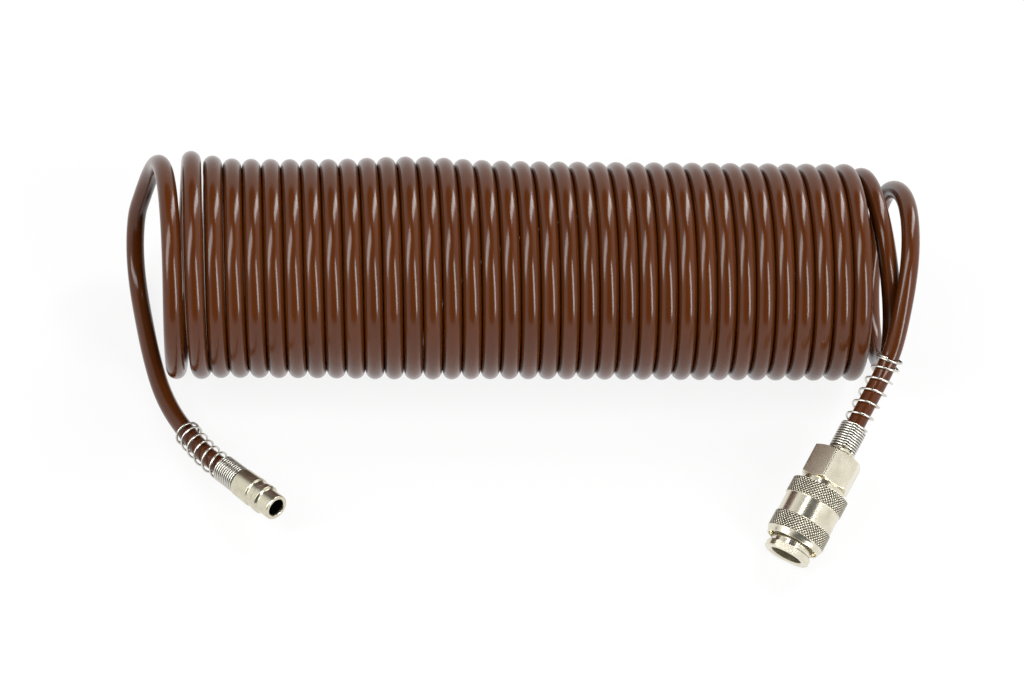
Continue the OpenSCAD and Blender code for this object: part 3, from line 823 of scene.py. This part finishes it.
@dataclass
class InnerSpring:
    """A compression spring inside the coupler, with half a flat turn at each end.

    Args:
        node: Node that the spring stands for.
        radius: Radius of the wire's centreline, in millimetres.
        wire: Diameter of the wire, in millimetres.
        turns: Turns in all.
        start: Where the spring begins on the axis, in millimetres.
        stop: Where it ends.
        joint: Slide that shortens the spring; not used.
        travel: How much shorter it then becomes, in millimetres; not used.
        rings_per_turn: Rings of the wire in one turn.
        sides: Points around the wire.
    """

    node: str
    radius: float
    wire: float
    turns: float
    start: float
    stop: float
    joint: str
    travel: float
    rings_per_turn: int = 36
    sides: int = 12

    def build(self, material: bpy.types.Material) -> bpy.types.Object:
        """Makes the spring.

        The wire goes round once for each turn and climbs from start to stop between its two flat halves.

        Args:
            material: Finish of the wire.

        Returns:
            One unbroken tube with closed ends.
        """
        k = np.linspace(0.0, self.turns, round(self.turns * self.rings_per_turn) + 1)
        climb = np.clip((k - 0.5) / (self.turns - 1.0), 0.0, 1.0)
        z = self.start + self.wire / 2 + (self.stop - self.start - self.wire) * climb
        angle = 2.0 * np.pi * k
        path = np.stack([self.radius * np.cos(angle), self.radius * np.sin(angle), z], axis=-1)
        rings = rings_along(path, self.wire / 2, self.sides, np.array([0.0, 0.0, 1.0]))
        spring = grid_mesh(f"{self.node}_wire", COUPLER_AXIS.place(rings))
        dress(spring, material)
        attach(spring, "root")
        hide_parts(self.node)
        tuple(COUPLER_AXIS.way)
        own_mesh(spring)
        log.info("%s: %.1f turns", spring.name, self.turns)
        return spring


# ---------------------------------------------------------------- Turned pieces


def stem_outline() -> np.ndarray:
    """Outline of the barbed stem in the hose, as radius and z, from its tip to the fitting's face."""
    tip, core, barb, pitch = 0.8, 2.4, 2.7, 3.2
    rise = tip + 0.6 + pitch * np.arange(3)
    teeth = np.stack([
        np.stack([np.full(3, core), rise], axis=-1),
        np.stack([np.full(3, barb), rise + 0.8 * pitch], axis=-1),
        np.stack([np.full(3, core), rise + 0.9 * pitch], axis=-1),
    ], axis=1).reshape(-1, 2)
    return np.concatenate([[[2.1, tip], [core - 0.2, tip]], teeth, [[core, STEM_DEPTH]]])


def with_stem(outside: np.ndarray) -> np.ndarray:
    """Rounded outline of a body with a barbed stem.

    Args:
        outside: The rest of the body, as rows of radius, z and the rounding of that corner.

    Returns:
        Array of points x 2, as radius and z.
    """
    stem = stem_outline()
    radii = np.concatenate([np.full(len(stem), 0.05), outside[:, 2]])
    return round_corners(np.concatenate([stem, outside[:, :2]]), radii)


@dataclass
class PlugBody:
    """The turned plug: stem, collar, waist and rib for the coupler's balls, and nose.

    Args:
        columns: Points around the axis.
    """

    columns: int = 192

    def build(self, material: bpy.types.Material) -> bpy.types.Object:
        """Makes the plug's body, an outline with rounded corners turned about the plug's axis.

        Args:
            material: Finish of the body.

        Returns:
            The closed body with its bore.
        """
        outside = np.array([
            [6.5, 12.6, 0.45], [6.8, 22.5, 0.35], [6.1, 22.85, 0.5], [6.1, 25.75, 0.6], [6.75, 26.45, 0.5],
            [6.8, 29.0, 0.3], [6.55, 29.3, 0.3], [5.85, 29.95, 0.4], [5.85, 36.5, 0.55],
            [4.3, 36.5, 0.12], [4.0, 36.2, 0.1], [4.0, 29.9, 0.3], [2.7, 26.3, 0.3], [2.1, 20.5, 0.3],
        ])
        points = spun(refine(with_stem(outside), 1.2), self.columns)
        body = grid_mesh("plug_body_turned", PLUG_AXIS.place(points), closed=True)
        r, z = np.linalg.norm(points[..., :2], axis=-1), points[..., 2]
        # Painted shade: the bore is marked dark, fading out near its mouth.
        mark_painted_shade(body, ease((36.6 - z) / 1.5) * (r < 4.2) * (z > 13.0))
        dress(body, material)
        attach(body, "root")
        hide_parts("plug_body")
        log.info("%s: %d faces", body.name, len(body.data.polygons))
        return body


@dataclass
class HexBody:
    """The coupler's rear body: stem, wrench hexagon with turned chamfers, and boss.

    Args:
        across: Width of the hexagon across its flats, in millimetres.
        columns: Points around the axis, a multiple of six.
        edge: Width over which a flat runs into a chamfer, in millimetres.
        fine: Largest distance between rows on the hexagon, in millimetres.
        coarse: The same elsewhere.
    """

    across: float = 21.0
    columns: int = 264
    edge: float = 0.22
    fine: float = 0.16
    coarse: float = 1.5

    def build(self, material: bpy.types.Material) -> bpy.types.Object:
        """Makes the body.

        The radius is the smaller of the turned outline's and the hexagon's, which is half the width over the
        cosine of the angle from the nearest flat's middle. Where the two are within the edge of each
        other, the smaller one is taken down by the square of what is left of the edge, over four times
        the edge.

        Args:
            material: Finish of the body.

        Returns:
            The closed body with its bore.
        """
        start, stop = 13.2, 30.2
        corner = self.across / 2 / math.cos(math.radians(30))
        foot, boss = 6.51, 10.35
        outside = np.array([
            [foot, STEM_DEPTH, 0.2], [foot, start, 0.1],
            [corner, start + (corner - foot) * math.tan(math.radians(25)), 0.25],
            [corner, stop - (corner - boss + 0.4) * math.tan(math.radians(30)), 0.25],
            [boss - 0.4, stop, 0.1], [boss, stop + 0.1, 0.05], [boss, 35.8, 0.35], [8.65, 35.8, 0.15],
            [8.65, 23.8, 0.2], [6.6, 23.8, 0.3], [2.1, 19.0, 0.3],
        ])
        rounded = with_stem(outside)
        middle = (rounded + np.roll(rounded, -1, axis=0)) / 2
        # The hexagon's outside starts from the foot at the rear, and from close to the boss at the front.
        least_r = np.where(middle[:, 1] < 20.0, foot, boss - 0.5)
        on_hexagon = (middle[:, 0] > least_r) & (middle[:, 1] > start - 0.01) & (middle[:, 1] < stop + 0.01)
        outline = refine(rounded, np.where(on_hexagon, self.fine, self.coarse))
        points = spun(outline, self.columns)
        angle = 360.0 * np.arange(self.columns) / self.columns
        flat = self.across / 2 / np.cos(np.radians(angle % 60.0 - 30.0))
        turned = np.broadcast_to(outline[:, 0, None], points.shape[:2])
        near = np.maximum(self.edge - np.abs(turned - flat), 0.0)
        least = np.minimum(turned, flat) - near**2 / (4.0 * self.edge)
        inside = (outline[:, 1, None] > start - 0.01) & (outline[:, 1, None] < stop + 0.01) & (turned > boss)
        points[..., :2] *= np.where(inside, least / turned, 1.0)[..., None]
        body = grid_mesh("hex_body_turned", COUPLER_AXIS.place(points), closed=True)
        dress(body, material)
        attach(body, "root")
        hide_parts("coupler_rear_body")
        log.info("%s: %d faces", body.name, len(body.data.polygons))
        return body


@dataclass
class KnurledSleeve:
    """The coupler's locking sleeve, with two bands of diamond knurl.

    Args:
        radius: Outer radius of the bands, in millimetres.
        depth: Depth of the knurl, in millimetres.
        diamonds: Diamonds around the sleeve.
        flank: Share of the way from one groove to the next over which a diamond's side rises.
        height: Height of a diamond along the axis, in millimetres.
        cuts: Points across one diamond, both ways.
        bands: Where each band begins and how many diamonds long it is.
    """

    radius: float = 13.35
    depth: float = 0.38
    diamonds: int = 52
    flank: float = 0.36
    height: float = 1.5
    cuts: int = 8
    bands: tuple[tuple[float, int], ...] = ((32.9, 5), (50.0, 5))

    def knurl(self, z: np.ndarray, turn: np.ndarray, start: float) -> np.ndarray:
        """Depth of the surface under the band's outer radius, in millimetres.

        Two sets of grooves run at slants, at whole values of (turn times diamonds plus and minus z over
        the height). The surface is deepest in a groove and rises to the outer radius in a straight slope,
        by the distance to the nearer groove, and stays level on top.
        """
        rows = (z - start) / self.height
        slants = [turn * self.diamonds + rows, turn * self.diamonds - rows]
        groove = np.minimum(*(np.abs(s - np.round(s)) for s in slants))
        return self.depth * (1.0 - np.minimum(groove / self.flank, 1.0))

    def build(self, material: bpy.types.Material) -> bpy.types.Object:
        """Makes the sleeve.

        Args:
            material: Finish of the sleeve.

        Returns:
            The closed sleeve, with painted shade in its knurl's grooves, which slides with its own body.
        """
        outer = self.radius
        smooth = outer - 0.5
        (rear, rear_count), (front, front_count) = self.bands
        rear_stop, front_stop = rear + rear_count * self.height, front + front_count * self.height
        corners = np.array([
            [10.45, 32.7, 0.2], [outer - 0.55, 32.7, 0.3], [outer - 0.05, 32.88, 0.1],
            [outer - 0.05, rear_stop, 0.1],
            [smooth, rear_stop + 0.12, 0.1], [smooth, front - 0.12, 0.1], [outer - 0.05, front, 0.1],
            [outer - 0.05, front_stop, 0.15], [outer - 0.6, front_stop + 1.1, 0.3], [12.2, 60.2, 0.25],
            [11.55, 60.2, 0.15], [11.55, 57.5, 0.15], [10.45, 56.4, 0.15], [10.45, 51.3, 0.1],
            [9.3, 51.3, 0.1], [9.3, 49.7, 0.1], [10.45, 49.7, 0.05],
        ])
        outline = refine(round_corners(corners[:, :2], corners[:, 2], steps=4), 1.4)
        on_band = [(outline[:, 0] > smooth + 0.2) & (outline[:, 1] > a + 0.03) & (outline[:, 1] < b - 0.03)
                   for a, b in ((rear, rear_stop), (front, front_stop))]
        pieces = []
        for mask, (start, count) in zip(on_band, self.bands):
            first, last = np.flatnonzero(mask)[[0, -1]]
            z = start + self.height * np.arange(1, count * self.cuts) / self.cuts
            pieces.append((first, last + 1, np.stack([np.full(len(z), outer), z], axis=-1)))
        (a, b, rear_rows), (c, d, front_rows) = pieces
        outline = np.concatenate([outline[:a], rear_rows, outline[b:c], front_rows, outline[d:]])
        columns = self.diamonds * self.cuts
        points = spun(outline, columns)
        turn = np.arange(columns)[None, :] / columns
        cut = np.zeros(points.shape[:2])
        for start, count in self.bands:
            z = outline[:, 1, None]
            rows = (z > start) & (z < start + count * self.height) & (outline[:, 0, None] > outer - 0.01)
            cut = np.where(rows, self.knurl(z, turn, start), cut)
        points[..., :2] *= (1.0 - cut / outline[:, 0, None])[..., None]
        sleeve = grid_mesh("knurled_sleeve", COUPLER_AXIS.place(points), closed=True)
        # Painted shade: the knurl's grooves are marked dark, more so the deeper they are cut.
        mark_painted_shade(sleeve, ease((cut / self.depth - 0.15) / 0.55))
        dress(sleeve, material)
        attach(sleeve, "sleeve")
        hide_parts("lock_sleeve")
        log.info("%s: %d faces", sleeve.name, len(sleeve.data.polygons))
        return sleeve


# ---------------------------------------------------------------- Studio


@dataclass(frozen=True)
class SoftBox:
    """A soft lamp that faces the object.

    Args:
        name: Name of the lamp.
        direction: Where it hangs, as seen from the object.
        width: Width in metres.
        height: Height in metres.
        radiance: Brightness of its face, where a white wall has 1.
    """

    name: str
    direction: tuple[float, float, float]
    width: float
    height: float
    radiance: float

    def build(self, distance: float) -> None:
        """Hangs the lamp, whose power is pi times its area times its radiance.

        Args:
            distance: Metres from the middle of the object to the lamp.
        """
        data = bpy.data.lights.new(self.name, "AREA")
        data.shape = "RECTANGLE"
        data.size = self.width
        data.size_y = self.height
        data.energy = math.pi * self.width * self.height * self.radiance
        lamp = bpy.data.objects.new(self.name, data)
        bpy.context.scene.collection.objects.link(lamp)
        out = Vector(self.direction).normalized()
        middle = Vector((0.0, 0.0, 0.05))
        lamp.matrix_world = Matrix.Translation(middle + distance * out) @ (
            (-out).to_track_quat("-Z", "Y").to_matrix().to_4x4())
        lamp.visible_camera = False


@dataclass
class Studio:
    """Camera, floor, surroundings and lamps.

    Args:
        target: Point that the camera looks at.
        azimuth: Side that the camera stands on, in degrees from X.
        elevation: Height of the camera above the floor, in degrees.
        distance: Metres from the target to the camera.
        roll: Turn of the camera about its own line of sight, in degrees.
        lens: Focal length in millimetres, for a sensor as wide as the next.
        sensor: Width of the sensor in millimetres.
        glow: Share of plain white in the floor as the eye sees it.
        fill: Brightness of the surroundings for rays that aren't mirrored.
        lamp_distance: Metres from the object to each lamp.
        soft_boxes: The lamps.
    """

    target: tuple[float, float, float] = (-0.00995, -0.03834, 0.045)
    azimuth: float = -95.442
    elevation: float = 51.196
    distance: float = 1.50554
    roll: float = 4.562
    lens: float = 118.81
    sensor: float = 36.0
    glow: float = 0.86
    fill: float = 0.12
    lamp_distance: float = 1.6
    soft_boxes: tuple[SoftBox, ...] = (
        SoftBox("soft_box_back", (0.51, 0.52, 0.69), width=0.42, height=1.5, radiance=9.5),
        SoftBox("soft_box_left", (-0.66, -0.23, 0.72), width=0.5, height=1.9, radiance=7.0),
        SoftBox("soft_box_right", (0.56, -0.71, 0.43), width=0.36, height=1.6, radiance=11.5),
    )

    def camera(self) -> None:
        """Makes the camera and gives it to the scene."""
        data = bpy.data.cameras.new("camera")
        data.lens = self.lens
        data.sensor_width = self.sensor
        data.clip_start = 0.05
        data.clip_end = 50.0
        camera = bpy.data.objects.new("camera", data)
        bpy.context.scene.collection.objects.link(camera)
        az, el = math.radians(self.azimuth), math.radians(self.elevation)
        outward = Vector((math.cos(el) * math.cos(az), math.cos(el) * math.sin(az), math.sin(el)))
        level = (-outward).to_track_quat("-Z", "Y").to_matrix().to_4x4()
        spin = Matrix.Rotation(math.radians(self.roll), 4, "Z")
        camera.matrix_world = Matrix.Translation(Vector(self.target) + self.distance * outward) @ level @ spin
        bpy.context.scene.camera = camera

    def floor(self) -> None:
        """Lays a plain white floor that keeps a soft shadow.

        The eye and mirrored rays see its paint mixed with a white glow, and other rays the paint alone.
        """
        data = bpy.data.meshes.new("floor")
        near, far, side = -0.52, 3.0, 2.5
        corners = [(-side, near, 0), (side, near, 0), (side, far, 0), (-side, far, 0)]
        data.from_pydata(corners, [], [(0, 1, 2, 3)])
        floor = bpy.data.objects.new("floor", data)
        bpy.context.scene.collection.objects.link(floor)
        material = bpy.data.materials.new("white floor")
        material.use_nodes = True
        tree = material.node_tree
        tree.nodes.clear()
        out = add_node(tree, "ShaderNodeOutputMaterial")
        paint = add_node(tree, "ShaderNodeBsdfDiffuse", {"Color": (0.9, 0.9, 0.9, 1.0)})
        glow = add_node(tree, "ShaderNodeEmission")
        share = add_node(tree, "ShaderNodeMixShader", {"Fac": self.glow})
        path = add_node(tree, "ShaderNodeLightPath")
        seen = add_node(tree, "ShaderNodeMath", operation="MAXIMUM")
        through = add_node(tree, "ShaderNodeMath", operation="MAXIMUM")
        pick = add_node(tree, "ShaderNodeMixShader")
        connect(
            tree,
            (paint, "BSDF", share, 1), (glow, "Emission", share, 2),
            (path, "Is Camera Ray", seen, 0), (path, "Is Glossy Ray", seen, 1),
            (seen, "Value", through, 0), (path, "Is Transmission Ray", through, 1),
            (through, "Value", pick, "Fac"), (paint, "BSDF", pick, 1), (share, "Shader", pick, 2),
            (pick, "Shader", out, "Surface"),
        )
        data.materials.append(material)

    def world(self) -> None:
        """Surrounds the object.

        The eye sees white. Mirrored rays see white low down behind and on both sides, and a dark room
        elsewhere. Other rays see a faint grey.
        """
        world = bpy.data.worlds.new("studio")
        world.use_nodes = True
        bpy.context.scene.world = world
        tree = world.node_tree
        tree.nodes.clear()
        out = add_node(tree, "ShaderNodeOutputWorld")
        plain = (1.0, 1.0, 1.0, 1.0)
        white = add_node(tree, "ShaderNodeBackground", {"Color": plain})
        room = add_node(tree, "ShaderNodeBackground")
        soft = add_node(tree, "ShaderNodeBackground", {"Color": plain, "Strength": self.fill})
        place = add_node(tree, "ShaderNodeTexCoord")
        parts = add_node(tree, "ShaderNodeSeparateXYZ")
        low = ramp(tree, 0.52, 0.6, 1.0, 0.0, interpolation_type="SMOOTHSTEP")
        behind = ramp(tree, 0.0, 0.3, interpolation_type="SMOOTHSTEP")
        both = add_node(tree, "ShaderNodeMath", operation="MULTIPLY")
        wide = add_node(tree, "ShaderNodeMath", operation="ABSOLUTE")
        flank = ramp(tree, 0.3, 0.75, interpolation_type="SMOOTHSTEP")
        lit = add_node(tree, "ShaderNodeMath", operation="MAXIMUM")
        tint = two_tones(tree, (0.06, 0.06, 0.06), (0.95, 0.95, 0.93))
        path = add_node(tree, "ShaderNodeLightPath")
        shiny = add_node(tree, "ShaderNodeMixShader")
        eye = add_node(tree, "ShaderNodeMixShader")
        direct = add_node(tree, "ShaderNodeMath", operation="MAXIMUM")
        connect(
            tree,
            (place, "Generated", parts, "Vector"),
            (parts, "Z", low, "Value"), (parts, "Y", behind, "Value"),
            (low, "Result", both, 0), (behind, "Result", both, 1),
            (parts, "X", wide, 0), (wide, "Value", flank, "Value"),
            (both, "Value", lit, 0), (flank, "Result", lit, 1),
            (lit, "Value", tint, "Factor"), (tint, "Result", room, "Color"),
            (path, "Is Glossy Ray", shiny, "Fac"),
            (soft, "Background", shiny, 1), (room, "Background", shiny, 2),
            (path, "Is Camera Ray", direct, 0), (path, "Is Transmission Ray", direct, 1),
            (direct, "Value", eye, "Fac"), (shiny, "Shader", eye, 1), (white, "Background", eye, 2),
            (eye, "Shader", out, "Surface"),
        )

    def build(self) -> None:
        """Sets the view settings and makes the floor, the surroundings and the lamps."""
        bpy.context.scene.view_settings.view_transform = "Standard"
        self.floor()
        self.world()
        for box in self.soft_boxes:
            box.build(self.lamp_distance)


def dress_nodes(materials: dict[str, bpy.types.Material]) -> None:
    """Gives each node that shows its own finish."""
    table = {
        "hose_end_plug": ("brown polyamide", Finish.HOSE),
        "hose_end_coupler": ("brown polyamide", Finish.HOSE),
        "plug_ferrule": ("plug nickel", Finish.FITTING),
        "coupler_ferrule": ("coupler nickel", Finish.FITTING),
        "coupler_front_body": ("coupler nickel", Finish.FITTING),
        "sleeve_stop_ring": ("spring wire", Finish.SPRING_WIRE),
        "valve_poppet": ("turned brass", Finish.BRASS),
        "valve_seal": ("seal rubber", Finish.RUBBER),
        "body_seal": ("seal rubber", Finish.RUBBER),
        "plug_seal": ("seal rubber", Finish.RUBBER),
    }
    for i in range(1, 7):
        table[f"locking_ball_{i}"] = ("ball steel", Finish.BALL)
    for node, (name, finish) in table.items():
        dress(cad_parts[node], materials[name])


def main() -> None:
    """Builds the camera, the hose and the rest in order."""
    logging.basicConfig(level=logging.INFO, format="%(name)s: %(message)s")
    studio = Studio()
    studio.camera()
    materials = make_finishes()
    hose = CoiledHose()
    hose.build(materials["brown polyamide"])
    guards = (
        BendGuard("plug_spring_guard", PLUG_AXIS, hose.plug_tail(), phase=23.0, radius=5.66, open_turns=5.25,
                  open_pitch=5.5, closed_turns=1.08),
        BendGuard("coupler_spring_guard", COUPLER_AXIS, hose.coupler_tail(), phase=310.0, radius=5.75,
                  open_turns=5.58, open_pitch=6.2, closed_turns=1.25),
    )
    for guard in guards:
        guard.build(materials["guard wire"])
    PlugBody().build(materials["plug nickel"])
    HexBody().build(materials["coupler nickel"])
    KnurledSleeve().build(materials["sleeve nickel"])
    springs = (
        InnerSpring("sleeve_spring", radius=9.875, wire=0.8, turns=5.5, start=35.81, stop=49.69,
                    joint="sleeve_slide", travel=2.4),
        InnerSpring("valve_spring", radius=5.45, wire=0.7, turns=4.5, start=32.811, stop=42.971,
                    joint="valve_slide", travel=4.0),
    )
    for spring in springs:
        spring.build(materials["spring wire"])
    dress_nodes(materials)
    studio.build()
    log.info("boxes written")


if __name__ == "__main__":
    main()
